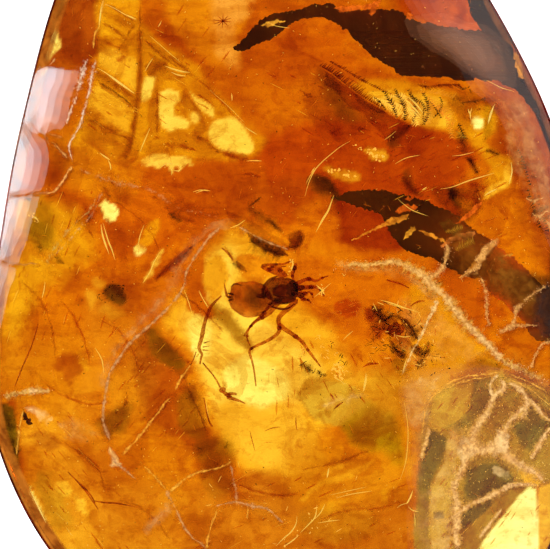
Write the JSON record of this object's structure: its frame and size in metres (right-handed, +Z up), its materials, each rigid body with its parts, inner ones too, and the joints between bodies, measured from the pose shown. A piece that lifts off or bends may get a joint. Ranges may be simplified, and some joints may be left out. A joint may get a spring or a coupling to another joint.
{
  "type": "spider in amber",
  "caption": "Polished drop of clear golden amber with a small spider sealed inside, lying on its flat back.",
  "frame": {"origin": "the middle of the flat back it lies on, under the middle of the drop's own box", "axes": "+Z up out of the domed face, +Y towards the drop's narrow end, +X to the right as seen from above"},
  "size_m": [0.0242, 0.0346, 0.008],
  "materials": {
    "amber": "clear golden-orange fossil resin with a high polish"
  },
  "bodies": {
    "root": {"amber_drop": "amber"}
  },
  "joints": []
}
